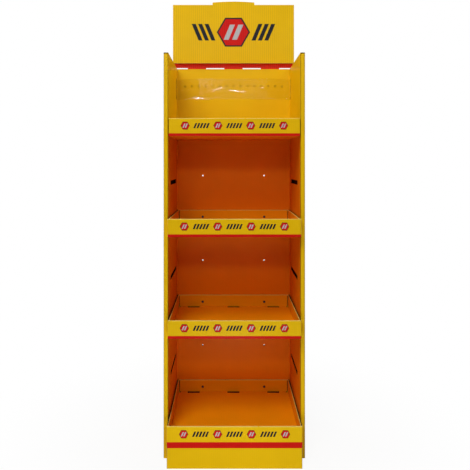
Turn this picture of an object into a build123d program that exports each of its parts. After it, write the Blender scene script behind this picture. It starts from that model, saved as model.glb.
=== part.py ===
"""Free-standing display stand folded from corrugated card, in millimetres.

+Z is up, the front faces -Y, and the origin is on the floor under the middle of the stand.
"""

import os

from build123d import *

# Overall envelope
stand_width = 510.0
stand_depth = 400.0

# Sheets: one board for the walls, a lighter one for the trays
board = 4.0
tray_board = 3.0
fold_radius = 3.0
overrun = 20.0

# Double side walls: outer panel, hollow, liner
column_width = 16.5
glue_flap_width = 30.0
raw_edge_recess = 0.8

# Slots in the side liners, behind the column front
slot_setback = 82.0
slot_length = 190.0
slot_height = 16.0

# Trays, from the top one down; reach is how far a lip stands in front of the columns
tray_names = ["top", "upper", "lower", "bottom"]
top_tray_reach = 3.0
middle_tray_reach = 36.0
bottom_tray_reach = 65.0
tray_pitch = 359.0
tray_height = 64.0
top_bay_height = 301.0
tray_side_clearance = 2.25
rim_radius = 2.4
tray_corner_radius = 2.0
tray_seam_width = 4.0
tongue_end_clearance = 2.0
tongue_reach_into_hollow = 5.0

# Raised tray floors
deck_rise = 15.5
deck_clearance = 0.3
deck_slot_length = 50.0
deck_slot_width = 14.0
deck_slot_spacing = 168.0
deck_corner_relief = 9.0

# Rivets and the holes they use; the spare pairs take the same spacing
rivet_spacing = 260.0
rivet_sides = 12
rivet_drop = 29.0
rivet_hole_radius = 3.5
rivet_shank_clearance = 0.1
rivet_head_radius = 5.0
rivet_head_height = 2.4
rivet_bevel = 1.2
rivet_barb_radius = 4.3
rivet_tail_clearance = 0.5
spare_hole_radius = 3.5
spare_hole_rise = 174.0

# Plinth
plinth_height = 84.0
plinth_recess = 1.8
plinth_flap_width = 60.0
brace_spacing = 190.0

# Header card
header_gap = 21.5
header_step = 16.0
header_face_height = 247.0
header_corner_radius = 5.0
header_bump_width = 176.0
header_bump_height = 10.0
header_bump_arch = 4.0
header_bump_corner = 9.0
header_foot_gap = 6.0
header_tongue_width = 78.0
header_tongue_spacing = 155.0
header_tongue_depth = 45.0
header_tongue_corner = 8.0

# Clear strip across the top bay
strip_height = 86.0
strip_drop = 46.0
strip_thickness = 1.0
strip_setback = 4.0
strip_bow = 34.0
strip_end_length = 40.0
strip_hole_count = 15
strip_hole_margin = 35.5
strip_hole_width = 4.6
strip_hole_drop = 31.0

# Planes and half widths that several pieces share
front_y = -stand_depth / 2
back_y = stand_depth / 2
column_y = front_y + bottom_tray_reach
pocket_y = back_y - 2 * board
panel_y = pocket_y - board
half_width = stand_width / 2
bay_half = half_width - column_width
tray_half = bay_half - tray_side_clearance
tray_wall = 2 * tray_board
tray_reaches = [top_tray_reach, middle_tray_reach, middle_tray_reach, bottom_tray_reach]
tray_bases = [plinth_height + tray_pitch * step for step in (3, 2, 1, 0)]
wall_height = tray_bases[0] + top_bay_height
rivet_heights = [base + tray_height - rivet_drop for base in tray_bases]
spare_heights = [height + spare_hole_rise for height in rivet_heights[1:]]
slot_front_y = column_y + slot_setback
slot_middle_y = slot_front_y + slot_length / 2
sides = (-1, 1)


def block(low, high):
    """A box between two opposite corners."""
    size = [b - a for a, b in zip(low, high)]
    return Pos(*low) * Box(*size, align=(Align.MIN, Align.MIN, Align.MIN))


def hole_pair(z, radius, y_low, y_high):
    """Two round cutters along Y at the rivet spacing, at one height."""
    rod = Rot(-90, 0, 0) * Cylinder(radius, y_high - y_low, align=(Align.CENTER, Align.CENTER, Align.MIN))
    return [Pos(side * rivet_spacing / 2, y_low, z) * rod for side in sides]


def liner_slot(side, base):
    """Cutter for one slot through a side liner, standing on the given height."""
    middle_x = side * (bay_half + board / 2)
    return Pos(middle_x, slot_middle_y, base + slot_height / 2) * Box(2 * board, slot_length, slot_height)


def make_outer_wrap():
    """The folded outer sheet: back, double side walls, front returns and glue flaps."""
    middle_y = (column_y + back_y) / 2
    outline = Pos(0, middle_y) * Rectangle(stand_width, back_y - column_y)
    bay_back_y = back_y - board
    bay = Pos(0, (column_y - overrun + bay_back_y) / 2) * Rectangle(
        2 * bay_half, bay_back_y - column_y + overrun
    )
    section = outline - bay
    folds = [corner for corner in section.vertices() if corner.Y < column_y + board]
    folds += [corner for corner in section.vertices() if corner.Y > back_y - board / 2]
    section = fillet(folds, fold_radius)
    for side in sides:
        flap_x = side * (bay_half - glue_flap_width / 2)
        section += Pos(flap_x, pocket_y + board / 2) * Rectangle(glue_flap_width, board)
    wrap = extrude(section, wall_height)
    for side in sides:
        hollow_low = (bay_half + board, column_y + board, -overrun)
        hollow_high = (half_width - board, back_y - board, wall_height - board)
        hollow = block(hollow_low, hollow_high)
        wrap -= hollow if side > 0 else mirror(hollow, Plane.YZ)
        for base in tray_bases[:-1]:
            wrap -= liner_slot(side, base)
            wrap -= liner_slot(side, base - tray_pitch / 2)
    wrap -= block(
        (-half_width - overrun, column_y - overrun, wall_height - board),
        (half_width + overrun, column_y + raw_edge_recess, wall_height + overrun),
    )
    for height in spare_heights:
        for cutter in hole_pair(height, spare_hole_radius, pocket_y, back_y + overrun):
            wrap -= cutter
    return wrap


def make_back_panel():
    """The flat inner back between the liners, with rivet holes and spare hole pairs."""
    panel = block((-bay_half, panel_y, 0), (bay_half, pocket_y, wall_height))
    for height in rivet_heights:
        for cutter in hole_pair(height, rivet_hole_radius, panel_y - overrun, pocket_y + board):
            panel -= cutter
    for height in spare_heights:
        for cutter in hole_pair(height, spare_hole_radius, panel_y - overrun, pocket_y + board):
            panel -= cutter
    return panel


def header_outline(base_z):
    """The header's face: a tall card with a raised, slightly arched centre on its top edge."""
    top_z = base_z + header_face_height
    bump_z = top_z + header_bump_height
    half_bump = header_bump_width / 2
    with BuildSketch(Plane.XZ) as face:
        with BuildLine():
            Line((-half_width, base_z), (half_width, base_z))
            Line((half_width, base_z), (half_width, top_z))
            Line((half_width, top_z), (half_bump, top_z))
            Line((half_bump, top_z), (half_bump, bump_z))
            ThreePointArc((half_bump, bump_z), (0, bump_z + header_bump_arch), (-half_bump, bump_z))
            Line((-half_bump, bump_z), (-half_bump, top_z))
            Line((-half_bump, top_z), (-half_width, top_z))
            Line((-half_width, top_z), (-half_width, base_z))
        make_face()
        corners = face.vertices()
        fillet([v for v in corners if v.Z > bump_z - header_bump_height / 2], header_bump_corner)
        corners = face.vertices()
        fillet([v for v in corners if abs(v.X) > half_width - board and v.Z > base_z], header_corner_radius)
    return face.sketch


def make_header_card():
    """The header: face, turned-back bottom strip, and a foot with three tongues in the pocket."""
    base_z = wall_height + header_gap
    face_y = pocket_y - header_step
    face_sketch = header_outline(base_z)
    card = Pos(0, face_y + board, 0) * extrude(face_sketch, board)
    card += block((-half_width, face_y, base_z), (half_width, pocket_y + board, base_z + board))
    foot_z = wall_height + header_foot_gap
    card += block((-half_width, pocket_y, foot_z), (half_width, pocket_y + board, base_z + board))
    tongue_length = header_tongue_depth + header_foot_gap + board
    tongue = RectangleRounded(header_tongue_width, 2 * tongue_length, header_tongue_corner)
    tongue_solid = extrude(Plane.XZ * tongue, -board)
    upper_half = block(
        (-header_tongue_width, -overrun, 0), (header_tongue_width, board + overrun, 2 * tongue_length)
    )
    tongue_solid -= upper_half
    for step in (-1, 0, 1):
        card += Pos(step * header_tongue_spacing, pocket_y, foot_z + board) * tongue_solid
    bottom_folds = [
        edge
        for edge in card.edges().filter_by(Axis.X)
        if abs(edge.center().Y - face_y) < raw_edge_recess and edge.center().Z < base_z + raw_edge_recess
    ]
    return fillet(bottom_folds, fold_radius)


def make_clear_strip():
    """A clear film strip bowed across the top bay, with its ends turned along the liners."""
    end_y = panel_y - strip_setback
    base_z = wall_height - strip_drop - strip_height
    with BuildSketch() as plan:
        with BuildLine():
            ThreePointArc((-bay_half, end_y), (0, end_y - strip_bow), (bay_half, end_y))
            Line((bay_half, end_y), (bay_half, end_y + strip_thickness))
            ThreePointArc(
                (bay_half, end_y + strip_thickness),
                (0, end_y - strip_bow + strip_thickness),
                (-bay_half, end_y + strip_thickness),
            )
            Line((-bay_half, end_y + strip_thickness), (-bay_half, end_y))
        make_face()
    section = plan.sketch
    for side in sides:
        tab_x = side * (bay_half - strip_thickness / 2)
        tab_y = end_y + strip_thickness - strip_end_length / 2
        section += Pos(tab_x, tab_y) * Rectangle(strip_thickness, strip_end_length)
    strip = Pos(0, 0, base_z) * extrude(section, strip_height)
    hole_z = base_z + strip_height - strip_hole_drop
    first_x = strip_hole_margin - bay_half
    hole_pitch = -2 * first_x / (strip_hole_count - 1)
    punch = Box(strip_hole_width, 2 * (strip_bow + overrun), strip_hole_width)
    for index in range(strip_hole_count):
        strip -= Pos(first_x + index * hole_pitch, end_y, hole_z) * punch
    return strip


def make_tray(reach, base, has_tongues):
    """One tray with rolled double walls and seams in its rear corners; tongues sit in the liners' slots."""
    lip_y = column_y - reach
    tray = block((-tray_half, lip_y, 0), (tray_half, panel_y, tray_height))
    uprights = tray.edges().filter_by(Axis.Z)
    tray = fillet(uprights, tray_corner_radius)
    tray -= block(
        (-tray_half + tray_wall, lip_y + tray_wall, tray_board),
        (tray_half - tray_wall, panel_y - tray_wall, tray_height + overrun),
    )
    rim = [edge for edge in tray.edges() if edge.center().Z > tray_height - tray_board]
    tray = fillet(rim, rim_radius)
    seam = block(
        (tray_half - tray_wall - tray_seam_width, panel_y - tray_wall - overrun, tray_board),
        (tray_half - tray_wall, panel_y - tray_board, tray_height - rim_radius),
    )
    tray -= [seam, mirror(seam, Plane.YZ)]
    if has_tongues:
        tongue_reach = tray_side_clearance + board + tongue_reach_into_hollow
        tongue_low_y = slot_front_y + tongue_end_clearance
        tongue_high_y = slot_front_y + slot_length - tongue_end_clearance
        tongue = block(
            (tray_half - tray_board, tongue_low_y, 0), (tray_half + tongue_reach, tongue_high_y, tray_wall)
        )
        tray += tongue
        tray += mirror(tongue, Plane.YZ)
    hole_z = tray_height - rivet_drop
    for cutter in hole_pair(hole_z, rivet_hole_radius, panel_y - overrun, panel_y + overrun):
        tray -= cutter
    return Pos(0, 0, base) * tray


def make_deck(reach, base):
    """The raised floor of one tray: a sheet with four turned-down edges, slots and corner reliefs."""
    low_x = -tray_half + tray_wall + deck_clearance
    low_y = column_y - reach + tray_wall + deck_clearance
    high_y = panel_y - tray_wall - deck_clearance
    deck = block((low_x, low_y, tray_board), (-low_x, high_y, deck_rise))
    deck -= block(
        (low_x + tray_board, low_y + tray_board, tray_board - overrun),
        (-low_x - tray_board, high_y - tray_board, deck_rise - tray_board),
    )
    for step in (-1, 0, 1):
        middle_x = step * deck_slot_spacing
        deck -= block(
            (middle_x - deck_slot_length / 2, high_y - deck_slot_width, -overrun),
            (middle_x + deck_slot_length / 2, high_y + overrun, deck_rise + overrun),
        )
    for side in sides:
        for corner_y in (low_y, high_y):
            deck -= Pos(side * low_x, corner_y, 0) * Box(
                2 * deck_corner_relief, 2 * deck_corner_relief, 2 * (deck_rise + overrun)
            )
    return Pos(0, 0, base) * deck


def rivet_prism(radius, low_y, high_y):
    """A many-sided length of a rivet along Y."""
    section = Plane((0, low_y, 0), x_dir=(1, 0, 0), z_dir=(0, 1, 0)) * RegularPolygon(radius, rivet_sides)
    return extrude(section, high_y - low_y)


def make_rivet(side, height):
    """A plastic push rivet: bevelled head inside the tray, shank, and a barbed tail in the pocket."""
    wall_y = panel_y - tray_wall
    tip_y = pocket_y + board - rivet_tail_clearance
    head = rivet_prism(rivet_head_radius, wall_y - rivet_head_height, wall_y)
    head = chamfer(head.faces().sort_by(Axis.Y)[0].edges(), rivet_bevel)
    shank = rivet_prism(rivet_hole_radius - rivet_shank_clearance, wall_y, pocket_y)
    tail = rivet_prism(rivet_barb_radius, pocket_y, tip_y)
    tail = chamfer(tail.faces().sort_by(Axis.Y)[-1].edges(), rivet_bevel)
    return Pos(side * rivet_spacing / 2, 0, height) * (head + shank + tail)


def make_plinth():
    """The base sleeve under the bottom tray, with flaps turned in along its front and back."""
    low_y = front_y + plinth_recess
    middle_y = (low_y + panel_y) / 2
    outline = Pos(0, middle_y) * Rectangle(2 * tray_half, panel_y - low_y)
    outline = fillet(outline.vertices(), fold_radius)
    inside = Pos(0, middle_y) * Rectangle(2 * (tray_half - board), panel_y - low_y - 2 * board)
    plinth = extrude(outline - inside, plinth_height)
    inner_x = tray_half - board
    for flap_low, flap_high in (
        (low_y + board, low_y + board + plinth_flap_width),
        (panel_y - board - plinth_flap_width, panel_y - board),
    ):
        plinth += block((-inner_x, flap_low, plinth_height - board), (inner_x, flap_high, plinth_height))
    return plinth


def make_plinth_brace():
    """A folded divider inside the plinth: two walls front to back, joined along the back."""
    low_y = front_y + plinth_recess + board
    high_y = panel_y - board
    half = brace_spacing / 2
    middle_y = (low_y + high_y) / 2
    outline = Pos(0, middle_y) * Rectangle(2 * half, high_y - low_y)
    inside = Pos(0, middle_y - board) * Rectangle(2 * (half - board), high_y - low_y)
    brace = extrude(outline - inside, plinth_height)
    for flap_low, flap_high in (
        (low_y - overrun, low_y + plinth_flap_width),
        (high_y - plinth_flap_width, high_y + overrun),
    ):
        brace -= block(
            (-half - overrun, flap_low, plinth_height - board),
            (half + overrun, flap_high, plinth_height + overrun),
        )
    return brace


def make_all_parts():
    """Every piece of the stand, by node name."""
    parts = {
        "outer_wrap": make_outer_wrap(),
        "back_panel": make_back_panel(),
        "header_card": make_header_card(),
        "clear_strip": make_clear_strip(),
        "plinth": make_plinth(),
        "plinth_brace": make_plinth_brace(),
    }
    for name, reach, base, height in zip(tray_names, tray_reaches, tray_bases, rivet_heights):
        parts[f"tray_{name}"] = make_tray(reach, base, has_tongues=name != "bottom")
        parts[f"deck_{name}"] = make_deck(reach, base)
        parts[f"rivet_{name}_left"] = make_rivet(-1, height)
        parts[f"rivet_{name}_right"] = make_rivet(1, height)
    return parts


os.makedirs("parts", exist_ok=True)
for node, solid in make_all_parts().items():
    export_step(solid, f"parts/{node}.step")
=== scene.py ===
"""Looks of a card display stand: printed finishes, clear film, push rivets, light and camera.

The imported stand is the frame, in metres: +Z is up, the front faces -Y and the floor is z = 0.
"""

import logging
import math
from collections.abc import Callable
from dataclasses import dataclass, field
from enum import Enum

import bpy
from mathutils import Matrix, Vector


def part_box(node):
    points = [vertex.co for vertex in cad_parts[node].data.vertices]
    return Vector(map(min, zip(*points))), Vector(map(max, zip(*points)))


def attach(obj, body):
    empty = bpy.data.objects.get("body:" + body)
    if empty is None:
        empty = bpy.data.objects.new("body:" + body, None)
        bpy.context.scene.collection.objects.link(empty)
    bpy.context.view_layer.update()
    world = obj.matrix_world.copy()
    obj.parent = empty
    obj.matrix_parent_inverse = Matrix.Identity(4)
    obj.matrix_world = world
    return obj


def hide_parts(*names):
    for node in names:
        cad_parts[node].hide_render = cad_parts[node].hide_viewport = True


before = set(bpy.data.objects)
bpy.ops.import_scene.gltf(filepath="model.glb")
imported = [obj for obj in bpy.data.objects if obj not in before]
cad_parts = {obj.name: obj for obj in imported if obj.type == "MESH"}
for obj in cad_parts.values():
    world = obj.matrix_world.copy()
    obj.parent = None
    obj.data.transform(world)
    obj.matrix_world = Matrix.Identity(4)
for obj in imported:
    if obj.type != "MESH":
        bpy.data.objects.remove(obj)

LOG = logging.getLogger("display_stand")
BODY = "root"
FULL_TURN = 2 * math.pi

# How deep the print is taken to reach into a board, and half the width of soft edges, in metres
PRINT_SKIN = 0.0004
PRINT_EDGE = 0.0001
BOARD_EDGE = 0.0002

# How squarely a face has to look along an axis to be taken as facing it
FACING = 0.6
FACING_SOFT = 0.1
SQUARE_ON = 0.99

Colour = tuple[float, float, float]
Place = tuple[float, float, float]
Span = tuple[float | None, float | None]
Source = bpy.types.NodeSocket | float
OPEN: Span = (None, None)
WHITE: Colour = (1.0, 1.0, 1.0)


class Tray(Enum):
    """The four trays, from the top one down."""

    TOP = "top"
    UPPER = "upper"
    LOWER = "lower"
    BOTTOM = "bottom"


class Side(Enum):
    """The two sides of the stand, as seen from its front."""

    LEFT = "left"
    RIGHT = "right"


class Blend(Enum):
    """What a Mix node mixes, with the numbers of its two inputs and of its result."""

    NUMBER = ("FLOAT", 2, 3, 0)
    COLOUR = ("RGBA", 6, 7, 2)


@dataclass(frozen=True)
class Clouds:
    """Cloudy noise: the size of a cloud in metres, its finer layers and how far it is drawn out."""

    size: float
    detail: float = 2.0
    stretch: Place = (1.0, 1.0, 1.0)


class FinishGraph:
    """Writes the node tree of one material, a step at a time."""

    def __init__(self, name: str) -> None:
        """Starts a material with a Principled shader.

        Args:
            name: The material's name.
        """
        self.material = bpy.data.materials.new(name)
        self.material.use_nodes = True
        self.tree = self.material.node_tree
        self.surface = next(n for n in self.tree.nodes if n.type == "BSDF_PRINCIPLED")
        self.output = next(n for n in self.tree.nodes if n.type == "OUTPUT_MATERIAL")
        self.place = self.add("ShaderNodeTexCoord").outputs["Object"]
        split = self.add("ShaderNodeSeparateXYZ")
        self.feed(split.inputs[0], self.place)
        self.x, self.y, self.z = split.outputs
        self.from_middle = self.math("ABSOLUTE", self.x)
        facing = self.add("ShaderNodeSeparateXYZ")
        self.feed(facing.inputs[0], self.add("ShaderNodeNewGeometry").outputs["True Normal"])
        self.facing_x = self.math("ABSOLUTE", facing.outputs["X"])
        self.facing_z = self.math("ABSOLUTE", facing.outputs["Z"])

    def add(self, kind: str, **settings: object) -> bpy.types.Node:
        """Adds a node.

        Args:
            kind: The node's type name.
            **settings: Properties to set on the node.

        Returns:
            The new node.
        """
        node = self.tree.nodes.new(kind)
        for key, value in settings.items():
            setattr(node, key, value)
        return node

    def feed(self, socket: bpy.types.NodeSocket, source: Source | Colour) -> None:
        """Links a source to a socket, or sets the socket's own value.

        Args:
            socket: The input to feed.
            source: Another node's output, a number or a colour.
        """
        if isinstance(source, bpy.types.NodeSocket):
            self.tree.links.new(source, socket)
        elif isinstance(source, tuple):
            socket.default_value = (*source, 1.0)
        else:
            socket.default_value = source

    def math(self, operation: str, *sources: Source) -> bpy.types.NodeSocket:
        """Adds a Math node.

        Args:
            operation: The node's operation.
            *sources: Up to three numbers or sockets.

        Returns:
            The result's socket.
        """
        node = self.add("ShaderNodeMath", operation=operation)
        for socket, source in zip(node.inputs, sources):
            self.feed(socket, source)
        return node.outputs[0]

    def step(self, source: Source, edge: float, soft: float) -> bpy.types.NodeSocket:
        """A smooth step from 0 to 1 across an edge.

        Args:
            source: The value that is compared.
            edge: Where the step lies.
            soft: Half the step's width; a negative one steps down.

        Returns:
            The step's socket.
        """
        node = self.add("ShaderNodeMapRange", interpolation_type="SMOOTHSTEP")
        self.feed(node.inputs["Value"], source)
        node.inputs["From Min"].default_value = edge - abs(soft)
        node.inputs["From Max"].default_value = edge + abs(soft)
        node.inputs["To Min"].default_value = 0.0 if soft > 0 else 1.0
        node.inputs["To Max"].default_value = 1.0 if soft > 0 else 0.0
        return node.outputs["Result"]

    def within(self, source: Source, span: Span, soft: float) -> list[bpy.types.NodeSocket]:
        """The steps that keep a value inside a span.

        Args:
            source: The value that is compared.
            span: Lowest and highest value, None where it is open.
            soft: Half the width of each step.

        Returns:
            No socket, one or two.
        """
        low, high = span
        steps = [] if low is None else [self.step(source, low, soft)]
        return steps if high is None else [*steps, self.step(source, high, -soft)]

    def all_of(self, masks: list[bpy.types.NodeSocket]) -> Source:
        """The product of several masks, or 1 where there is none."""
        result: Source = 1.0
        for mask in masks:
            result = self.math("MULTIPLY", result, mask)
        return result

    def blend(
        self, kind: Blend, share: Source, under: Source | Colour, over: Source | Colour
    ) -> bpy.types.NodeSocket:
        """Lays one colour or number over another.

        Args:
            kind: Whether colours or numbers are mixed.
            share: How much of the upper one shows.
            under: The lower one.
            over: The upper one.

        Returns:
            The mixed value's socket.
        """
        data_type, lower, upper, result = kind.value
        node = self.add("ShaderNodeMix", data_type=data_type)
        self.feed(node.inputs[0], share)
        self.feed(node.inputs[lower], under)
        self.feed(node.inputs[upper], over)
        return node.outputs[result]

    def vary(self, source: Source, amount: float) -> bpy.types.NodeSocket:
        """A factor around 1 that follows a value between 0 and 1.

        Args:
            source: The value.
            amount: How far apart the lowest and the highest factor are.

        Returns:
            The factor's socket.
        """
        return self.math("MULTIPLY_ADD", source, amount, 1.0 - amount / 2)

    def noise(self, clouds: Clouds) -> bpy.types.NodeSocket:
        """Cloudy noise around 0.5.

        Args:
            clouds: The size, detail and stretch of the clouds.

        Returns:
            The noise's socket.
        """
        sized = self.add("ShaderNodeMapping")
        self.feed(sized.inputs["Vector"], self.place)
        sized.inputs["Scale"].default_value = [1 / (clouds.size * s) for s in clouds.stretch]
        noise = self.add("ShaderNodeTexNoise")
        self.feed(noise.inputs["Vector"], sized.outputs[0])
        noise.inputs["Scale"].default_value = 1.0
        noise.inputs["Detail"].default_value = clouds.detail
        return noise.outputs["Fac"]

    def bump(self, height: Source, depth: float, under: Source | None = None) -> bpy.types.NodeSocket:
        """Turns a height into a normal.

        Args:
            height: The height's socket, from 0 to 1.
            depth: How deep a height of 1 is, in metres.
            under: A normal that it adds to.

        Returns:
            The normal's socket.
        """
        node = self.add("ShaderNodeBump")
        node.inputs["Distance"].default_value = depth
        self.feed(node.inputs["Height"], height)
        if under is not None:
            self.feed(node.inputs["Normal"], under)
        return node.outputs["Normal"]


@dataclass(frozen=True)
class Pigment:
    """One colour of the print or the paper, with its gloss."""

    colour: Colour
    roughness: float
    varnish: float


# The amber and orange pigments are painted shade: deeper copies of the yellow ink for the insides of the
# lower bays and the trays' undersides.
SHADE_AMBER = Pigment((0.92, 0.225, 0.002), 0.34, 1.0)
DEEP_SHADE_AMBER = Pigment((0.80, 0.215, 0.002), 0.34, 1.0)
SHADE_ORANGE = Pigment((0.94, 0.350, 0.002), 0.34, 1.0)
YELLOW = Pigment((0.81, 0.490, 0.002), 0.34, 1.0)
RED = Pigment((0.61, 0.007, 0.004), 0.34, 1.0)
# A brighter copy of the red: painted light on the header's foot, which lies in shade.
LIT_FOOT_RED = Pigment((0.92, 0.034, 0.008), 0.34, 1.0)
NEAR_BLACK = Pigment((0.010, 0.012, 0.018), 0.36, 1.0)
SILVER = Pigment((0.50, 0.50, 0.52), 0.30, 1.0)
KRAFT = Pigment((0.33, 0.19, 0.085), 0.85, 0.0)
FLUTE_SHADE = Pigment((0.055, 0.030, 0.012), 0.95, 0.0)
# Near-black board: painted shade in the side walls' hollows, the flaps' cut edges, under the raised floors
# and in the gaps by the rims.
SHADED_BOARD = Pigment((0.030, 0.016, 0.008), 0.90, 0.0)
# Raw board darkened as painted shade, for the seams at the trays' backs.
SEAM_SHADE = Pigment((0.42, 0.140, 0.012), 0.90, 0.0)
# Pale worn paper, which on rims and fold edges also stands for a painted highlight.
WEAR_AND_HIGHLIGHT = Pigment((0.84, 0.62, 0.14), 0.60, 0.2)


@dataclass(frozen=True)
class Patch:
    """A box of the stand, in metres, whose surface has a pigment of its own.

    The x span is measured from the stand's middle, the same on both sides. A cover under 1 leaves
    only that share of it, in clouds.
    """

    pigment: Pigment
    x: Span = OPEN
    y: Span = OPEN
    z: Span = OPEN
    soft: float = BOARD_EDGE
    cover: float = 1.0
    clouds: Clouds = Clouds(0.012, 3.0)
    cloud_edge: float = 0.05

    def mask(self, graph: FinishGraph) -> Source:
        """Where the patch shows.

        Args:
            graph: The material that is being written.

        Returns:
            A mask from 0 to 1.
        """
        masks = graph.within(graph.from_middle, self.x, self.soft)
        masks += graph.within(graph.y, self.y, self.soft)
        masks += graph.within(graph.z, self.z, self.soft)
        if self.cover < 1.0:
            masks.append(graph.step(graph.noise(self.clouds), 1.0 - self.cover, self.cloud_edge))
        return graph.all_of(masks)


Layer = tuple[Source, Pigment]
LayerMaker = Callable[[FinishGraph], list[Layer]]


@dataclass(frozen=True)
class FlutedEdge:
    """The cut edge of corrugated board: two liners with a waved paper between them."""

    pitch: float = 0.0068
    liner_share: float = 0.13
    paper_share: float = 0.10
    wave_share: float = 0.34
    soft: float = 0.03

    def between_liners(self, graph: FinishGraph, across: Source) -> list[bpy.types.NodeSocket]:
        """The steps that keep a place through the board between its two liners."""
        return graph.within(across, (self.liner_share, 1 - self.liner_share), self.soft)

    def void_mask(self, graph: FinishGraph, across: Source, along: Source) -> Source:
        """Where the edge is hollow.

        Args:
            graph: The material that is being written.
            across: The place through the board, from 0 to 1.
            along: The place along the edge, in metres.

        Returns:
            A mask from 0 to 1.
        """
        phase = graph.math("MULTIPLY", along, FULL_TURN / self.pitch)
        wave = graph.math("MULTIPLY", graph.math("SINE", phase), self.wave_share)
        middle = graph.math("SUBTRACT", across, 0.5)
        gap = graph.math("ABSOLUTE", graph.math("SUBTRACT", middle, wave))
        off_wave = graph.step(gap, self.paper_share, self.soft)
        return graph.all_of([off_wave, *self.between_liners(graph, across)])


@dataclass(frozen=True)
class CardFinish:
    """Varnished print on corrugated card, with raw board where the print ends."""

    name: str
    ground: Pigment = YELLOW
    flute_pitch: float = 0.0065
    flute_depth: float = 0.00007
    # Light and dark stripes along the flutes in the colour: painted shade of the flutes.
    stripe: float = 0.03
    side_share: float = 0.5
    mottle: float = 0.14
    mottle_clouds: Clouds = Clouds(0.09, 4.0)
    fibre: float = 0.06
    fibre_depth: float = 0.00002
    fibre_clouds: Clouds = Clouds(0.0011, 3.0, (1.0, 1.0, 3.0))
    scuff: float = 0.10
    scuff_clouds: Clouds = Clouds(0.030, 5.0, (1.0, 1.0, 2.2))
    waviness_depth: float = 0.00060
    waviness_clouds: Clouds = Clouds(0.16, 1.0)
    shine: float = 0.06
    varnish_weight: float = 0.03
    varnish_roughness: float = 0.22

    def build(
        self,
        patches: list[Patch],
        print_layers: LayerMaker | None = None,
        edge_layers: LayerMaker | None = None,
    ) -> bpy.types.Material:
        """Writes the material of one card piece.

        Args:
            patches: Boxes with pigments of their own, the later ones on top.
            print_layers: Makes the printed motifs, laid under the patches.
            edge_layers: Makes the fluted edges, laid over the patches.

        Returns:
            The finished material.
        """
        graph = FinishGraph(self.name)
        layers: list[Layer] = [] if print_layers is None else print_layers(graph)
        layers += [(patch.mask(graph), patch.pigment) for patch in patches]
        layers += [] if edge_layers is None else edge_layers(graph)
        colour, rough, varnish = self.ground.colour, self.ground.roughness, self.ground.varnish
        for mask, pigment in layers:
            colour = graph.blend(Blend.COLOUR, mask, colour, pigment.colour)
            rough = graph.blend(Blend.NUMBER, mask, rough, pigment.roughness)
            varnish = graph.blend(Blend.NUMBER, mask, varnish, pigment.varnish)
        self.dress(graph, colour, rough, varnish)
        return graph.material

    def dress(self, graph: FinishGraph, colour: Source, rough: Source, varnish: Source) -> None:
        """Adds ink mottle, flutes, fibres, painted shade along the flutes and varnish to the laid colours.

        Args:
            graph: The material that is being written.
            colour: The laid colour.
            rough: The laid roughness.
            varnish: How much of the surface is varnished.
        """
        surface = graph.surface
        mottle = graph.noise(self.mottle_clouds)
        tone = graph.add("ShaderNodeHueSaturation")
        graph.feed(tone.inputs["Color"], colour)
        graph.feed(tone.inputs["Value"], graph.vary(mottle, self.mottle))
        fibre = graph.noise(self.fibre_clouds)
        on_side = graph.step(graph.facing_x, self.side_share, FACING_SOFT)
        across = graph.blend(Blend.NUMBER, on_side, graph.x, graph.y)
        phase = graph.math("MULTIPLY", across, FULL_TURN / self.flute_pitch)
        ridge = graph.math("MULTIPLY_ADD", graph.math("SINE", phase), 0.5, 0.5)
        # Fibre speckle times painted shade along the flute ridges.
        fibre_and_flute_shade = graph.math("MULTIPLY", graph.vary(fibre, self.fibre), graph.vary(ridge, self.stripe))
        inked = graph.add("ShaderNodeHueSaturation")
        graph.feed(inked.inputs["Color"], tone.outputs[0])
        graph.feed(inked.inputs["Value"], fibre_and_flute_shade)
        graph.feed(surface.inputs["Base Color"], inked.outputs[0])
        scuff = graph.noise(self.scuff_clouds)
        graph.feed(surface.inputs["Roughness"], graph.math("MULTIPLY_ADD", scuff, self.scuff, rough))
        surface.inputs["Specular IOR Level"].default_value = self.shine
        if isinstance(varnish, float):
            weight: Source = varnish * self.varnish_weight
        else:
            weight = graph.math("MULTIPLY", varnish, self.varnish_weight)
        graph.feed(surface.inputs["Coat Weight"], weight)
        surface.inputs["Coat Roughness"].default_value = self.varnish_roughness
        waviness = graph.bump(graph.noise(self.waviness_clouds), self.waviness_depth)
        flutes = graph.bump(ridge, self.flute_depth, waviness)
        normal = graph.bump(fibre, self.fibre_depth, flutes)
        graph.feed(surface.inputs["Normal"], normal)
        graph.feed(surface.inputs["Coat Normal"], flutes)


@dataclass(frozen=True)
class BarMotif:
    """A printed group of slanted bars."""

    count: int
    width: float
    pitch: float
    height: float
    slant: float
    soft_share: float = 0.04

    def mask(self, graph: FinishGraph, u: Source, v: Source) -> Source:
        """Where the bars are printed.

        Args:
            graph: The material that is being written.
            u: The place across the group, from its middle.
            v: The place up the group, from its middle.

        Returns:
            A mask from 0 to 1.
        """
        soft = self.width * self.soft_share
        lean = graph.math("SUBTRACT", u, graph.math("MULTIPLY", v, self.slant))
        half_group = self.count * self.pitch / 2
        start = graph.math("ADD", lean, half_group)
        place = graph.math("WRAP", start, self.pitch, 0.0)
        off = graph.math("ABSOLUTE", graph.math("SUBTRACT", place, self.pitch / 2))
        bar = graph.step(off, self.width / 2, -soft)
        group = graph.within(lean, (-half_group, half_group), soft)
        tall = graph.within(v, (-self.height / 2, self.height / 2), soft)
        return graph.all_of([bar, *group, *tall])


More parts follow.
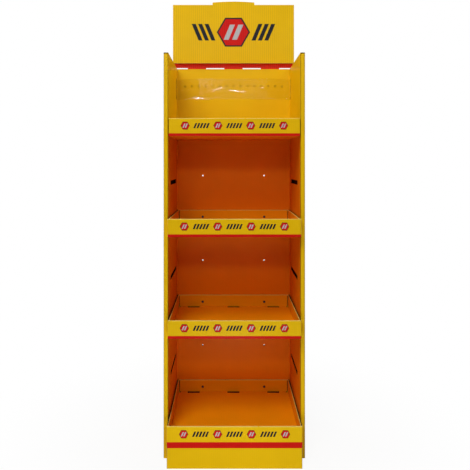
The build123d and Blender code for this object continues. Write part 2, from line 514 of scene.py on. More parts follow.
@dataclass(frozen=True)
class BadgeMotif:
    """A printed six-sided badge: dark outline, red field and two slanted silver bars."""

    flats: float
    outline_share: float = 0.10
    bar_count: int = 2
    bar_share: float = 0.17
    bar_pitch_share: float = 0.29
    bar_height_share: float = 0.52
    slant: float = 0.42
    soft_share: float = 0.012

    def layers(self, graph: FinishGraph, u: Source, v: Source, where: Source) -> list[Layer]:
        """The badge's printed layers, the lowest first.

        Args:
            graph: The material that is being written.
            u: The place across the badge, from its centre.
            v: The place up the badge, from its centre.
            where: A mask of the face that is printed.

        Returns:
            Masks with their pigments.
        """
        half = self.flats / 2
        soft = self.flats * self.soft_share
        across = graph.math("ABSOLUTE", u)
        up = graph.math("ABSOLUTE", v)
        corner = math.radians(60)
        rise = graph.math("MULTIPLY", up, math.cos(corner))
        reach = graph.math("MAXIMUM", up, graph.math("MULTIPLY_ADD", across, math.sin(corner), rise))
        body = graph.step(reach, half, -soft)
        red = graph.step(reach, half * (1 - self.outline_share), -soft)
        bars = BarMotif(
            self.bar_count,
            self.bar_share * self.flats,
            self.bar_pitch_share * self.flats,
            self.bar_height_share * self.flats,
            self.slant,
        )
        return [
            (graph.all_of([body, where]), NEAR_BLACK),
            (graph.all_of([red, where]), RED),
            (graph.all_of([bars.mask(graph, u, v), where]), SILVER),
        ]


def dress_node(node: str, material: bpy.types.Material) -> None:
    """Gives a CAD node its material.

    Args:
        node: The node's name.
        material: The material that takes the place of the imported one.
    """
    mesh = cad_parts[node].data
    mesh.materials.clear()
    mesh.materials.append(material)
    LOG.info("dressed %s with %s", node, material.name)


def finish_piece(piece: bpy.types.Object, replaced: list[str]) -> None:
    """Ties a modelled piece to the stand.

    Args:
        piece: The finished mesh object, at the origin.
        replaced: The CAD nodes that the piece stands for.
    """
    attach(piece, BODY)
    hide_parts(*replaced)
    LOG.info("piece %s stands for %s", piece.name, ", ".join(replaced))


class Bench:
    """The modelling bench: selection, modes and modifiers by operators."""

    @staticmethod
    def clear() -> None:
        """Leaves edit mode and deselects everything."""
        if bpy.context.mode != "OBJECT":
            bpy.ops.object.mode_set(mode="OBJECT")
        bpy.ops.object.select_all(action="DESELECT")

    @staticmethod
    def only(piece: bpy.types.Object) -> None:
        """Selects one object alone and makes it active."""
        Bench.clear()
        piece.select_set(True)
        bpy.context.view_layer.objects.active = piece

    @staticmethod
    def edit(piece: bpy.types.Object, kind: str) -> None:
        """Opens a piece in edit mode with nothing selected.

        Args:
            piece: The object to edit.
            kind: VERT, EDGE or FACE.
        """
        Bench.only(piece)
        bpy.ops.object.mode_set(mode="EDIT")
        bpy.ops.mesh.select_mode(type=kind)
        bpy.ops.mesh.select_all(action="DESELECT")

    @staticmethod
    def pick_faces(piece: bpy.types.Object, test: Callable[[bpy.types.MeshPolygon], bool]) -> None:
        """Selects the faces that pass a test, and stays in edit mode.

        Args:
            piece: The object in edit mode.
            test: Says whether a face is picked.
        """
        bpy.ops.mesh.select_all(action="DESELECT")
        bpy.ops.object.mode_set(mode="OBJECT")
        for face in piece.data.polygons:
            face.select = test(face)
        bpy.ops.object.mode_set(mode="EDIT")

    @staticmethod
    def pick_edges(piece: bpy.types.Object, test: Callable[[Vector, Vector], bool]) -> None:
        """Selects the edges whose two ends pass a test, and stays in edit mode.

        Args:
            piece: The object in edit mode.
            test: Says whether an edge is picked, from its two ends.
        """
        bpy.ops.mesh.select_all(action="DESELECT")
        bpy.ops.object.mode_set(mode="OBJECT")
        points = piece.data.vertices
        for edge in piece.data.edges:
            first, second = (points[index].co for index in edge.vertices)
            edge.select = test(first, second)
        bpy.ops.object.mode_set(mode="EDIT")

    @staticmethod
    def settle(piece: bpy.types.Object) -> None:
        """Puts a piece's place, turn and scale into its mesh."""
        Bench.only(piece)
        bpy.ops.object.transform_apply(location=True, rotation=True, scale=True)

    @staticmethod
    def modify(piece: bpy.types.Object, kind: str, **settings: object) -> None:
        """Adds a modifier and applies it.

        Args:
            piece: The object to modify.
            kind: The modifier's type.
            **settings: Properties of the modifier.
        """
        Bench.only(piece)
        modifier = piece.modifiers.new(kind.lower(), kind)
        for key, value in settings.items():
            setattr(modifier, key, value)
        bpy.ops.object.modifier_apply(modifier=modifier.name)


@dataclass
class CardShell:
    """The folded outer sheet and the flat back panel between its liners."""

    board: float = 0.004
    column_width: float = 0.0165
    fold_wear: float = 0.0016
    outer_cover: float = 0.42
    inner_cover: float = 0.40
    edge_liner: float = 0.10
    edge_soft: float = 0.05
    low: Vector = field(init=False)
    high: Vector = field(init=False)
    bay_shade_top: float = field(init=False)

    def __post_init__(self) -> None:
        """Takes the shell's box, and the height of the top tray, below which the bays get painted shade,
        from the frame.
        """
        self.low, self.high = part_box("outer_wrap")
        tray_low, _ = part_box(f"tray_{Tray.TOP.value}")
        self.bay_shade_top = tray_low.z + self.board

    def wrap_patches(self) -> list[Patch]:
        """The outer sheet's raw pocket, cut edges and worn folds, with painted shade: near black in the
        side walls' hollows and a deeper amber on the liners below the top tray.
        """
        skin = PRINT_SKIN
        half, inner = self.high.x, self.high.x - self.column_width
        top, front, back = self.high.z, self.low.y, self.high.y
        pocket = back - 2 * self.board
        wear = self.fold_wear
        # Painted shade: the raw board inside each side wall's hollow is made near black.
        hollow_shade = Patch(
            SHADED_BOARD, (inner + skin, half - skin), (front + skin, back - skin), (None, top - skin)
        )
        raw_pocket = Patch(KRAFT, (None, inner + skin), (pocket - skin, back - skin))
        worn_outer = Patch(
            WEAR_AND_HIGHLIGHT, (half - wear, None), (None, front + wear), OPEN, wear / 2, self.outer_cover
        )
        worn_inner = Patch(
            WEAR_AND_HIGHLIGHT,
            (inner - wear, inner + wear),
            (None, front + wear),
            OPEN,
            wear / 2,
            self.inner_cover,
        )
        # Painted shade: a deeper amber on the liners of the lower bays.
        liner_shade = Patch(
            DEEP_SHADE_AMBER,
            (None, inner + skin),
            (front + 2 * self.board, back - skin),
            (None, self.bay_shade_top),
        )
        return [liner_shade, worn_outer, worn_inner, hollow_shade, raw_pocket]

    def flap_edge(self, graph: FinishGraph) -> list[Layer]:
        """The cut edges of the flaps that close the side walls on top, near black between the liners as
        painted shade.

        Args:
            graph: The material that is being written.

        Returns:
            Masks with their pigments.
        """
        base = self.high.z - self.board
        across = graph.math("DIVIDE", graph.math("SUBTRACT", graph.z, base), self.board)
        hollow = graph.within(across, (self.edge_liner, 1 - self.edge_liner), self.edge_soft)
        front = graph.within(graph.y, (None, self.low.y + self.board), BOARD_EDGE)
        # Painted shade: the hollow of each flap's cut edge is near black.
        return [(graph.all_of([*hollow, *front]), SHADED_BOARD)]

    def panel_patches(self) -> list[Patch]:
        """The back panel's raw back and cut edges, and a deeper amber below the top tray as painted shade.
        """
        low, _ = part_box("back_panel")
        # Painted shade: a deeper amber on the panel below the top tray.
        amber = Patch(SHADE_AMBER, OPEN, OPEN, (None, self.bay_shade_top))
        return [amber, Patch(KRAFT, OPEN, (low.y + PRINT_SKIN, None))]

    def dress(self) -> None:
        """Dresses the outer sheet and the back panel."""
        wrap = CardFinish("wall_print_and_shade").build(self.wrap_patches(), edge_layers=self.flap_edge)
        dress_node("outer_wrap", wrap)
        dress_node("back_panel", CardFinish("panel_print_and_shade").build(self.panel_patches()))


@dataclass
class HeaderCard:
    """The tall card on top: yellow face with a printed device, red foot brightened as painted light, raw
    back.
    """

    board: float = 0.004
    foot_gap: float = 0.0215
    step: float = 0.016
    device_rise: float = 0.132
    wing_middle: float = 0.126
    fold_wear: float = 0.0022
    fold_soft: float = 0.0008
    fold_cover: float = 0.72
    badge: BadgeMotif = BadgeMotif(0.122)
    wing: BarMotif = BarMotif(3, 0.017, 0.027, 0.070, 0.42)
    low: Vector = field(init=False)
    high: Vector = field(init=False)
    face_base: float = field(init=False)

    def __post_init__(self) -> None:
        """Takes the card's box from the frame."""
        self.low, self.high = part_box("header_card")
        _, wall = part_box("outer_wrap")
        self.face_base = wall.z + self.foot_gap

    def patches(self) -> list[Patch]:
        """The red foot brightened as painted light, its worn fold with a painted highlight, and the raw
        sides of the card.
        """
        skin = PRINT_SKIN
        face = self.low.y
        # Painted light: the foot's red is brighter than the printed red, to lift the foot out of its
        # shade.
        foot = Patch(LIT_FOOT_RED, OPEN, (face + self.board, None), (None, self.face_base + self.board / 2))
        # Worn paper along the face's lower fold, which also stands for a painted highlight on that edge.
        worn = Patch(
            WEAR_AND_HIGHLIGHT,
            OPEN,
            (None, face + self.board),
            (None, self.face_base + self.fold_wear),
            self.fold_soft,
            self.fold_cover,
        )
        raw_back = Patch(KRAFT, OPEN, (face + skin, None), (self.face_base + skin, None))
        raw_foot = Patch(KRAFT, OPEN, (face + self.step + skin, None))
        return [foot, worn, raw_back, raw_foot]

    def device(self, graph: FinishGraph) -> list[Layer]:
        """The printed device: a badge between two groups of slanted bars.

        Args:
            graph: The material that is being written.

        Returns:
            Masks with their pigments.
        """
        up = graph.math("SUBTRACT", graph.z, self.face_base + self.device_rise)
        on_face = graph.step(graph.y, self.low.y + PRINT_SKIN, -PRINT_EDGE)
        outward = graph.math("SUBTRACT", graph.from_middle, self.wing_middle)
        bars = graph.all_of([self.wing.mask(graph, outward, up), on_face])
        return [(bars, NEAR_BLACK), *self.badge.layers(graph, graph.x, up, on_face)]

    def edges(self, graph: FinishGraph) -> list[Layer]:
        """The fluted cut edges of the face: waved on top, lined at the sides.

        Args:
            graph: The material that is being written.

        Returns:
            Masks with their pigments.
        """
        edge = FlutedEdge()
        across = graph.math("DIVIDE", graph.math("SUBTRACT", graph.y, self.low.y), self.board)
        on_face = graph.within(graph.z, (self.face_base + self.board, None), BOARD_EDGE)
        upward = graph.step(graph.facing_z, FACING, FACING_SOFT)
        sideways = graph.step(graph.facing_x, FACING, FACING_SOFT)
        waved = graph.all_of([edge.void_mask(graph, across, graph.x), upward, *on_face])
        lined = graph.all_of([*edge.between_liners(graph, across), sideways, *on_face])
        return [(waved, FLUTE_SHADE), (lined, FLUTE_SHADE)]

    def dress(self) -> None:
        """Dresses the header card."""
        # The header's flutes get a stronger painted shade in its colour.
        finish = CardFinish("header_print_and_light", flute_depth=0.00030, flute_pitch=0.0088, stripe=0.12)
        dress_node("header_card", finish.build(self.patches(), self.device, self.edges))


@dataclass
class TrayRow:
    """One tray with its raised floor: printed lip, red lower edge, worn rim with a painted highlight, and
    painted shade in and under it.
    """

    tray: Tray
    red_height: float = 0.0095
    red_depth: float = 0.0025
    print_rise: float = 0.0370
    badge_count: int = 4
    badge_pitch: float = 0.118
    wear: float = 0.0020
    wear_cover: float = 0.66
    wall: float = 0.0060
    gap_share: float = 0.45
    badge: BadgeMotif = BadgeMotif(0.0285)
    bars: BarMotif = BarMotif(5, 0.0068, 0.0112, 0.0185, 0.42)
    low: Vector = field(init=False)
    high: Vector = field(init=False)

    def __post_init__(self) -> None:
        """Takes the tray's box from the frame."""
        self.low, self.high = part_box(f"tray_{self.tray.value}")

    def floor_ink_and_shade(self) -> Pigment:
        """The colour inside the tray: plain yellow ink in the open top one, a deeper orange in the bays as
        painted shade.
        """
        return YELLOW if self.tray is Tray.TOP else SHADE_ORANGE

    def lip_print(self, graph: FinishGraph) -> list[Layer]:
        """The row on the lip: four badges with groups of bars between them.

        Args:
            graph: The material that is being written.

        Returns:
            Masks with their pigments.
        """
        half = self.badge_pitch / 2
        up = graph.math("SUBTRACT", graph.z, self.low.z + self.print_rise)
        on_lip = graph.step(graph.y, self.low.y + PRINT_SKIN, -PRINT_EDGE)
        row = graph.within(graph.from_middle, (None, self.badge_count * half), PRINT_EDGE)
        where = graph.all_of([on_lip, *row])
        from_badge = graph.math("WRAP", graph.math("ADD", graph.x, half), half, -half)
        from_bars = graph.math("WRAP", graph.x, half, -half)
        inner = graph.within(graph.from_middle, (None, (self.badge_count - 1) * half), PRINT_EDGE)
        bars = graph.all_of([self.bars.mask(graph, from_bars, up), on_lip, *inner])
        return [(bars, NEAR_BLACK), *self.badge.layers(graph, from_badge, up, where)]

    def patches(self) -> list[Patch]:
        """The lip's red lower edge, the worn rim with a painted highlight, and painted shade: inside the
        bays, under the tray and its floor, in the seams and in the gaps by the side rims.
        """
        skin = PRINT_SKIN
        _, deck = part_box(f"deck_{self.tray.value}")
        inner_back = self.high.y - self.wall
        red = Patch(RED, OPEN, (None, self.low.y + self.red_depth), (None, self.low.z + self.red_height))
        # Worn paper on the rims, which also stands for a painted highlight along them.
        worn = Patch(
            WEAR_AND_HIGHLIGHT, OPEN, OPEN, (self.high.z - self.wear, None), self.wear / 2, self.wear_cover
        )
        # Yellow ink inside the top tray; in the lower trays a deeper orange as painted shade.
        inside = Patch(
            self.floor_ink_and_shade(),
            (None, deck.x + skin),
            (self.low.y + self.wall - skin, inner_back + skin),
            (deck.z - skin, self.high.z - self.wear),
        )
        # Painted shade: a deeper amber on the tray's underside.
        underside = Patch(SHADE_AMBER, OPEN, (self.low.y + self.wall / 2, None), (None, self.low.z + skin))
        # Painted shade: near-black board under the raised floor.
        under = Patch(
            SHADED_BOARD,
            (None, deck.x + skin),
            (self.low.y + self.wall / 2, inner_back + skin),
            (self.low.z + self.wall / 4, deck.z - 2 * skin),
        )
        # Painted shade: raw board darkened in the seam at the tray's back.
        seam = Patch(
            SEAM_SHADE,
            (None, deck.x),
            (inner_back + skin, self.high.y - skin),
            (deck.z, self.high.z - 1.5 * self.wear),
        )
        # Painted shadow: a near-black line in the gap between each side rim and the liner.
        gap = Patch(
            SHADED_BOARD,
            (deck.x + self.wall * self.gap_share, None),
            (self.low.y + self.wall, None),
            (self.high.z - self.wall, None),
            self.wear / 4,
        )
        return [inside, underside, red, worn, under, seam, gap]

    def dress(self) -> None:
        """Dresses the tray and its floor."""
        # The tray's material holds painted shade and a painted highlight besides its print.
        finish = CardFinish(f"tray_{self.tray.value}_print")
        dress_node(f"tray_{self.tray.value}", finish.build(self.patches(), self.lip_print))
        # In the lower trays the floor's deeper orange is painted shade.
        floor = CardFinish(f"deck_{self.tray.value}_print", self.floor_ink_and_shade())
        dress_node(f"deck_{self.tray.value}", floor.build([]))


@dataclass
class Plinth:
    """The base sleeve with its red top stripe, and the raw brace inside it."""

    red_height: float = 0.0125

    def dress(self) -> None:
        """Dresses the sleeve and the brace."""
        low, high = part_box("plinth")
        skin = PRINT_SKIN
        red = Patch(RED, OPEN, OPEN, (high.z - self.red_height, None))
        inside = Patch(KRAFT, (None, high.x - skin), (low.y + skin, high.y - skin), (None, high.z - skin))
        dress_node("plinth", CardFinish("plinth_print").build([red, inside]))
        dress_node("plinth_brace", CardFinish("brace_board", KRAFT).build([]))


@dataclass(frozen=True)
class HoleRow:
    """The row of small round holes along the film, with its middle hole at x = 0."""

    half: float
    height: float
    count: int = 15
    margin: float = 0.0355
    radius: float = 0.0023
    rim: float = 0.0019
    facets: int = 16

    @property
    def pitch(self) -> float:
        """The distance between two holes, in metres."""
        return 2 * (self.half - self.margin) / (self.count - 1)

    def places(self) -> list[float]:
        """Where the holes lie along X."""
        return [(index - (self.count - 1) / 2) * self.pitch for index in range(self.count)]

    def rim_mask(self, graph: FinishGraph) -> Source:
        """Where the holes' rims are.

        Args:
            graph: The material that is being written.

        Returns:
            A mask from 0 to 1.
        """
        across = graph.math("WRAP", graph.x, self.pitch / 2, -self.pitch / 2)
        up = graph.math("SUBTRACT", graph.z, self.height)
        square = graph.math("MULTIPLY_ADD", across, across, graph.math("MULTIPLY", up, up))
        near = graph.step(graph.math("SQRT", square), self.radius + self.rim, -self.rim / 4)
        row = graph.within(graph.from_middle, (None, self.half - self.margin / 2), self.rim)
        return graph.all_of([near, *row])


@dataclass(frozen=True)
class FilmFinish:
    """Clear film with a faint haze, which lets the lamps through."""

    clear_share: float = 1.0
    tint: Colour = (0.92, 0.90, 0.92)
    # The holes' rims are painted darker as shade.
    rim_shade_tint: Colour = (0.30, 0.23, 0.12)
    index: float = 1.17
    roughness: float = 0.02
    haze: float = 0.08
    haze_clouds: Clouds = Clouds(0.012, 3.0, (4.0, 4.0, 1.0))

    def build(self, holes: HoleRow) -> bpy.types.Material:
        """Writes the film's material.

        Args:
            holes: The row of holes, whose rims are painted darker as shade.

        Returns:
            The finished material.
        """
        graph = FinishGraph("clear_film")
        surface = graph.surface
        tone = graph.blend(Blend.COLOUR, holes.rim_mask(graph), self.tint, self.rim_shade_tint)
        graph.feed(surface.inputs["Base Color"], tone)
        surface.inputs["Transmission Weight"].default_value = self.clear_share
        surface.inputs["IOR"].default_value = self.index
        streak = graph.noise(self.haze_clouds)
        dull = graph.math("MULTIPLY_ADD", streak, self.haze, self.roughness)
        graph.feed(surface.inputs["Roughness"], dull)
        light = graph.add("ShaderNodeLightPath")
        passed = graph.add("ShaderNodeBsdfTransparent")
        mixed = graph.add("ShaderNodeMixShader")
        lit = graph.math("MAXIMUM", light.outputs["Is Shadow Ray"], light.outputs["Is Diffuse Ray"])
        graph.feed(mixed.inputs[0], lit)
        graph.tree.links.new(surface.outputs[0], mixed.inputs[1])
        graph.tree.links.new(passed.outputs[0], mixed.inputs[2])
        graph.tree.links.new(mixed.outputs[0], graph.output.inputs["Surface"])
        return graph.material


@dataclass(frozen=True)
class FlatSpot:
    """A small flat spot of the film, which throws a lamp's light back."""

    x: float
    rise: float
    length: float
    turn: float
    lean_x: float
    lean_z: float
    width: float = 0.0140
    edge: int = 6

    def share_at(self, x: float, rise: float) -> float:
        """How far the spot flattens the film.

        Args:
            x: The place across the strip.
            rise: The height above the strip's lower edge.

        Returns:
            A share from 0 to 1.
        """
        dx, dz = x - self.x, rise - self.rise
        along = dx * math.cos(self.turn) + dz * math.sin(self.turn)
        across = dz * math.cos(self.turn) - dx * math.sin(self.turn)
        off = (2 * along / self.length) ** self.edge + (2 * across / self.width) ** self.edge
        return math.exp(-off)

    def back_at(self, x: float, rise: float) -> float:
        """How far a place of the spot lies behind its middle.

        Args:
            x: The place across the strip.
            rise: The height above the strip's lower edge.

        Returns:
            The distance, in metres.
        """
        return self.lean_x * (x - self.x) + self.lean_z * (rise - self.rise)


@dataclass
class FilmStrip:
    """The clear strip bowed across the top bay, with its ends turned along the liners."""

    thickness: float = 0.0005
    bow: float = 0.034
    bow_power: int = 4
    curl_height: float = 0.010
    curl_reach: float = 0.004
    ripple: float = 0.0007
    ripple_waves: tuple[tuple[float, float], ...] = ((57.0, 31.0), (23.0, -71.0))
    smooth_angle: float = math.radians(35)
    columns: int = 240
    rows: int = 60
    spots: tuple[FlatSpot, ...] = (
        FlatSpot(-0.069, 0.0416, 0.066, 0.46, 0.0419, 0.0678),
        FlatSpot(0.018, 0.0333, 0.085, -0.10, 0.0089, 0.0709),
        FlatSpot(0.122, 0.0480, 0.022, 0.05, -0.0303, 0.0659),
        FlatSpot(-0.150, 0.0045, 0.110, 0.02, 0.0731, 0.0814),
    )
    hole_drop: float = 0.031
    low: Vector = field(init=False)
    high: Vector = field(init=False)
    holes: HoleRow = field(init=False)

    def __post_init__(self) -> None:
        """Takes the strip's box from the frame."""
        self.low, self.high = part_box("clear_strip")
        self.holes = HoleRow(self.high.x, self.high.z - self.hole_drop)

    def sheet(self) -> bpy.types.Object:
        """A flat grid across the bay, standing where the strip's ends are.

        Returns:
            The grid, with its ends turned forward.
        """
        Bench.clear()
        bpy.ops.mesh.primitive_grid_add(x_subdivisions=self.columns, y_subdivisions=self.rows, size=1.0)
        piece = bpy.context.object
        piece.name = piece.data.name = "film_strip"
        piece.rotation_euler = (math.pi / 2, 0, 0)
        piece.scale = (2 * (self.high.x - self.thickness), self.high.z - self.low.z, 1.0)
        piece.location = (0, self.high.y - self.thickness, (self.low.z + self.high.z) / 2)
        Bench.settle(piece)
        return piece

    def forward(self, x: float, rise: float) -> float:
        """How far the bowed, curled and rippled sheet stands before its ends.

        Args:
            x: The place across the strip.
            rise: The height above the strip's lower edge.

        Returns:
            The distance, in metres.
        """
        arch = self.bow * (1 - (x / self.high.x) ** self.bow_power)
        low = max(0.0, 1 - rise / self.curl_height)
        first, second = (across * x + up * rise for across, up in self.ripple_waves)
        wave = math.sin(first) * math.cos(second)
        return arch + self.curl_reach * low * low + self.ripple * wave / 2

    def shape(self, piece: bpy.types.Object) -> None:
        """Bows the sheet forward, curls its lower edge, ripples it and lays the flat spots.

        Args:
            piece: The flat sheet.
        """
        for point in piece.data.vertices:
            x, rise = point.co.x, point.co.z - self.low.z
            forward = self.forward(x, rise)
            for spot in self.spots:
                flat = self.forward(spot.x, spot.rise) - spot.back_at(x, rise)
                forward += spot.share_at(x, rise) * (flat - forward)
            point.co.y -= forward

    def tabs(self, piece: bpy.types.Object) -> None:
        """Turns the two ends forward along the liners.

        Args:
            piece: The bowed sheet.
        """
        reach = self.high.y - self.low.y - self.thickness
        edge_x = self.high.x - 2 * self.thickness
        Bench.edit(piece, "EDGE")
        Bench.pick_edges(piece, lambda a, b: min(abs(a.x), abs(b.x)) > edge_x and a.x * b.x > 0)
        bpy.ops.mesh.extrude_region_move(TRANSFORM_OT_translate={"value": (0, -reach, 0)})
        Bench.clear()

    def punch(self, piece: bpy.types.Object) -> None:
        """Punches the row of small round holes.

        Args:
            piece: The solid strip.
        """
        rods = []
        for place in self.holes.places():
            Bench.clear()
            bpy.ops.mesh.primitive_cylinder_add(
                vertices=self.holes.facets,
                radius=self.holes.radius,
                depth=4 * self.bow,
                location=(place, self.high.y - self.bow, self.holes.height),
                rotation=(math.pi / 2, 0, 0),
            )
            rods.append(bpy.context.object)
        Bench.only(rods[0])
        for rod in rods:
            rod.select_set(True)
        bpy.ops.object.join()
        Bench.modify(piece, "BOOLEAN", operation="DIFFERENCE", solver="EXACT", object=rods[0])
        bpy.data.objects.remove(rods[0])

    def build(self) -> bpy.types.Object:
        """Models the strip.

        Returns:
            The finished piece.
        """
        piece = self.sheet()
        self.shape(piece)
        self.tabs(piece)
        Bench.modify(piece, "SOLIDIFY", thickness=self.thickness, offset=0.0)
        self.punch(piece)
        Bench.only(piece)
        bpy.ops.object.shade_smooth_by_angle(angle=self.smooth_angle)
        piece.data.materials.clear()
        piece.data.materials.append(FilmFinish().build(self.holes))
        finish_piece(piece, ["clear_strip"])
        return piece


@dataclass(frozen=True)
class RivetFinish:
    """Moulded dark plastic with a fine grain."""

    colour: Colour = (0.030, 0.014, 0.008)
    roughness: float = 0.38
    grain: float = 0.2
    grain_light: float = 1.6
    grain_depth: float = 0.00003
    grain_clouds: Clouds = Clouds(0.0006)

    def build(self) -> bpy.types.Material:
        """Writes the rivets' material.

        Returns:
            The finished material.
        """
        graph = FinishGraph("rivet_plastic")
        grain = graph.noise(self.grain_clouds)
        pale = tuple(self.grain_light * part for part in self.colour)
        graph.feed(graph.surface.inputs["Base Color"], graph.blend(Blend.COLOUR, grain, self.colour, pale))
        dull = graph.math("MULTIPLY_ADD", grain, self.grain, self.roughness)
        graph.feed(graph.surface.inputs["Roughness"], dull)
        graph.feed(graph.surface.inputs["Normal"], graph.bump(grain, self.grain_depth))
        return graph.material


@dataclass
class PushRivets:
    """The eight push rivets: rounded head with a centre pin, shank and barbed tail."""

    head_height: float = 0.0024
    head_rounding: float = 0.0014
    rounding_steps: int = 4
    pin_radius: float = 0.0024
    groove: float = 0.0006
    shank_radius: float = 0.0034
    barb_radius: float = 0.0043
    barb_length: float = 0.0035
    tip_share: float = 0.7
    facets: int = 32
    smooth_angle: float = math.radians(40)

    def model(self, low: Vector, high: Vector) -> bpy.types.Object:
        """Models one rivet in the place of a CAD rivet.

        Args:
            low: The CAD rivet's lowest corner.
            high: Its highest corner.

        Returns:
            The modelled rivet.
        """
        middle = (low + high) / 2
        radius = (high.x - low.x) / 2
        head_y = low.y + self.head_height
        Bench.clear()
        bpy.ops.mesh.primitive_cylinder_add(
            vertices=self.facets,
            radius=radius,
            depth=self.head_height,
            location=(middle.x, low.y + self.head_height / 2, middle.z),
            rotation=(math.pi / 2, 0, 0),
        )
        piece = bpy.context.object
        Bench.settle(piece)
        self.pin(piece, low.y, radius)
        self.tail(piece, head_y, high.y, radius, middle)
        Bench.only(piece)
        bpy.ops.object.shade_smooth_by_angle(angle=self.smooth_angle)
        return piece

    def pin(self, piece: bpy.types.Object, front: float, radius: float) -> None:
        """Rounds the head's rim and sinks a groove round its centre pin.

        Args:
            piece: The rivet's head.
            front: The head's front plane.
            radius: The head's radius.
        """
        Bench.edit(piece, "EDGE")
        Bench.pick_edges(piece, lambda a, b: max(a.y, b.y) < front + self.groove)
        bpy.ops.mesh.bevel(offset=self.head_rounding, segments=self.rounding_steps, affect="EDGES")
        face_limit = front + self.groove
        Bench.pick_faces(piece, lambda face: face.normal.y < -SQUARE_ON and face.center.y < face_limit)
        bpy.ops.mesh.inset(thickness=radius - self.head_rounding - self.pin_radius - self.groove)
        bpy.ops.mesh.extrude_region_move(TRANSFORM_OT_translate={"value": (0, self.groove, 0)})
        bpy.ops.mesh.inset(thickness=self.groove)
        bpy.ops.mesh.extrude_region_move(TRANSFORM_OT_translate={"value": (0, -self.groove, 0)})
        Bench.clear()

    def tail(
        self, piece: bpy.types.Object, head_y: float, tip_y: float, radius: float, middle: Vector
    ) -> None:
        """Draws out the shank and its barb from the head's back.

        Args:
            piece: The rivet's head.
            head_y: The head's back plane.
            tip_y: The tail's end.
            radius: The head's radius.
            middle: The middle of the rivet's box.
        """
        barb_y = tip_y - self.barb_length
        Bench.edit(piece, "FACE")
        face_limit = head_y - self.groove
        Bench.pick_faces(piece, lambda face: face.normal.y > SQUARE_ON and face.center.y > face_limit)
        bpy.ops.mesh.inset(thickness=radius - self.shank_radius)
        bpy.ops.mesh.extrude_region_move(TRANSFORM_OT_translate={"value": (0, barb_y - head_y, 0)})
        swell = self.barb_radius / self.shank_radius
        bpy.ops.mesh.extrude_region_move()
        bpy.ops.transform.resize(value=(swell, 1, swell), center_override=(middle.x, barb_y, middle.z))
        bpy.ops.mesh.extrude_region_move(TRANSFORM_OT_translate={"value": (0, self.barb_length, 0)})
        tip_scale = (self.tip_share, 1, self.tip_share)
        bpy.ops.transform.resize(value=tip_scale, center_override=(middle.x, tip_y, middle.z))
        Bench.clear()

    def build(self) -> list[bpy.types.Object]:
        """Models the first rivet, copies it to every other place and dresses them.

        Returns:
            The eight rivets.
        """
        material = RivetFinish().build()
        names = [f"rivet_{tray.value}_{side.value}" for tray in Tray for side in Side]
        first_low, first_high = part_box(names[0])
        pattern = self.model(first_low, first_high)
        pattern.data.materials.clear()
        pattern.data.materials.append(material)
        rivets = []
        for name in names:
            low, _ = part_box(name)
            rivet = pattern if name == names[0] else pattern.copy()
            if rivet is not pattern:
                rivet.data = pattern.data.copy()
                bpy.context.collection.objects.link(rivet)
            rivets.append(rivet)
            rivet.name = rivet.data.name = f"push_{name}"
            rivet.location = low - first_low
        for name, rivet in zip(names, rivets):
            Bench.settle(rivet)
            finish_piece(rivet, [name])
        return rivets


@dataclass(frozen=True)
class Softbox:
    """One square soft lamp."""

    name: str
    place: Place
    aim: Place
    width: float
    watts: float
    tint: Colour = WHITE
    beam: float = 180.0

    def hang(self) -> None:
        """Adds the lamp, turned to its aim."""
        lamp = bpy.data.lights.new(self.name, "AREA")
        lamp.shape = "SQUARE"
        lamp.size = self.width
        lamp.energy = self.watts
        lamp.color = self.tint
        lamp.spread = math.radians(self.beam)
        holder = bpy.data.objects.new(self.name, lamp)
        bpy.context.collection.objects.link(holder)
        holder.location = self.place
        towards = Vector(self.aim) - Vector(self.place)
        holder.rotation_euler = towards.to_track_quat("-Z", "Y").to_euler()


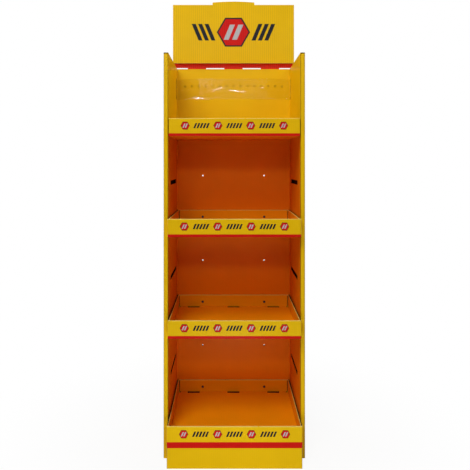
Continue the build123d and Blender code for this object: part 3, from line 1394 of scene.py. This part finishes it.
@dataclass
class Studio:
    """Pale floor, even surrounding light and the soft lamps."""

    surround: float = 0.055
    before_bounce: float = 0.5
    floor_half: float = 40.0
    floor_colour: Colour = (0.82, 0.82, 0.82)
    floor_roughness: float = 0.9
    floor_shade: float = 0.08
    shade_reach: float = 0.60
    shade_fade: float = 0.5
    lamps: tuple[Softbox, ...] = (
        Softbox("key_lamp", (-2.0, -4.3, 6.0), (0.0, 0.0, 0.9), 2.8, 208.0, (1.0, 0.97, 0.92)),
        Softbox("wing_left", (-1.35, -0.45, 2.5), (0.2, 0.0, 1.38), 0.6, 1.3, WHITE, 60.0),
        Softbox("wing_right", (1.35, -0.45, 2.5), (-0.2, 0.0, 1.38), 0.6, 1.3, WHITE, 60.0),
        Softbox("floor_lamp", (0.1, -2.2, 2.6), (0.1, -2.0, 0.0), 1.0, 3.0, (0.94, 1.0, 1.0), 70.0),
        Softbox("rear_left", (-3.0, 2.2, 1.1), (0.0, 0.0, 0.9), 1.4, 10.0, WHITE, 60.0),
        Softbox("rear_right", (3.0, 2.2, 1.1), (0.0, 0.0, 0.9), 1.4, 10.0, WHITE, 60.0),
        Softbox("bay_fill", (-0.75, -3.4, 2.4), (0.0, 0.0, 0.6), 1.10, 9.0),
        Softbox("front_fill", (0.15, -3.38, 2.4), (0.0, 0.0, 0.6), 0.24, 12.0),
        Softbox("low_fill", (0.0, -0.9, 0.09), (0.0, -0.2, 0.08), 0.16, 1.3, (0.86, 1.0, 0.95)),
    )

    def seen(self, nodes: bpy.types.Nodes, links: bpy.types.NodeLinks) -> bpy.types.NodeSocket:
        """A mask of the rays that see the background: camera, mirror and glass rays.

        Args:
            nodes: The node list to add to.
            links: The tree's links.

        Returns:
            The mask's socket.
        """
        light = nodes.new("ShaderNodeLightPath")
        result = light.outputs["Is Camera Ray"]
        for name in ("Is Glossy Ray", "Is Transmission Ray"):
            either = nodes.new("ShaderNodeMath")
            either.operation = "MAXIMUM"
            links.new(result, either.inputs[0])
            links.new(light.outputs[name], either.inputs[1])
            result = either.outputs[0]
        direct = nodes.new("ShaderNodeMath")
        direct.operation = "LESS_THAN"
        direct.inputs[1].default_value = self.before_bounce
        links.new(light.outputs["Diffuse Depth"], direct.inputs[0])
        both = nodes.new("ShaderNodeMath")
        both.operation = "MULTIPLY"
        links.new(result, both.inputs[0])
        links.new(direct.outputs[0], both.inputs[1])
        return both.outputs[0]

    def light_world(self) -> None:
        """Gives the world an even light, white to the eye."""
        world = bpy.data.worlds.new("studio_world")
        bpy.context.scene.world = world
        world.use_nodes = True
        nodes, links = world.node_tree.nodes, world.node_tree.links
        sky = next(node for node in nodes if node.type == "BACKGROUND")
        sky.inputs["Color"].default_value = (*WHITE, 1.0)
        level = nodes.new("ShaderNodeMapRange")
        level.inputs["To Min"].default_value = self.surround
        links.new(self.seen(nodes, links), level.inputs["Value"])
        links.new(level.outputs["Result"], sky.inputs["Strength"])

    def lay_floor(self) -> None:
        """Adds the pale floor, which keeps a soft shadow of the stand."""
        Bench.clear()
        bpy.ops.mesh.primitive_plane_add(size=2 * self.floor_half)
        floor = bpy.context.object
        floor.name = floor.data.name = "studio_floor"
        graph = FinishGraph("floor_white")
        graph.feed(graph.surface.inputs["Base Color"], self.floor_colour)
        graph.surface.inputs["Roughness"].default_value = self.floor_roughness
        glow = graph.add("ShaderNodeEmission")
        mixed = graph.add("ShaderNodeMixShader")
        seen = self.seen(graph.tree.nodes, graph.tree.links)
        away = graph.add("ShaderNodeVectorMath", operation="LENGTH")
        graph.feed(away.inputs[0], graph.place)
        near = graph.step(away.outputs["Value"], self.shade_reach, -self.shade_fade)
        glow_share = graph.math("MULTIPLY_ADD", near, -self.floor_shade, 1.0)
        graph.feed(mixed.inputs[0], graph.math("MULTIPLY", seen, glow_share))
        graph.tree.links.new(graph.surface.outputs[0], mixed.inputs[1])
        graph.tree.links.new(glow.outputs[0], mixed.inputs[2])
        graph.tree.links.new(mixed.outputs[0], graph.output.inputs["Surface"])
        floor.data.materials.append(graph.material)

    def build(self) -> None:
        """Sets the world, the floor, the lamps and the plain view transform."""
        self.light_world()
        self.lay_floor()
        for lamp in self.lamps:
            lamp.hang()
        bpy.context.scene.view_settings.view_transform = "Standard"


@dataclass(frozen=True)
class PhotoCamera:
    """A level camera in front of the stand, framed by a shift, with pixels of the photograph."""

    place: Place = (-0.021, -1.965, 1.060)
    frame_px: float = 470.0
    focal_px: float = 508.0
    axis_px: tuple[float, float] = (228.5, 164.0)
    sensor: float = 36.0

    def build(self) -> None:
        """Adds the camera and makes it the scene's own."""
        data = bpy.data.cameras.new("photo_camera")
        data.sensor_width = self.sensor
        data.lens = self.sensor * self.focal_px / self.frame_px
        data.shift_x = 0.5 - self.axis_px[0] / self.frame_px
        data.shift_y = self.axis_px[1] / self.frame_px - 0.5
        camera = bpy.data.objects.new("photo_camera", data)
        bpy.context.collection.objects.link(camera)
        camera.location = self.place
        camera.rotation_euler = (math.pi / 2, 0, 0)
        bpy.context.scene.camera = camera


def main() -> None:
    """Dresses the stand, models its film and rivets, and sets the studio."""
    logging.basicConfig(level=logging.INFO, format="%(name)s: %(message)s")
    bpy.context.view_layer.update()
    CardShell().dress()
    HeaderCard().dress()
    for tray in Tray:
        TrayRow(tray).dress()
    Plinth().dress()
    FilmStrip().build()
    PushRivets().build()
    Studio().build()
    PhotoCamera().build()


if __name__ == "__main__":
    main()
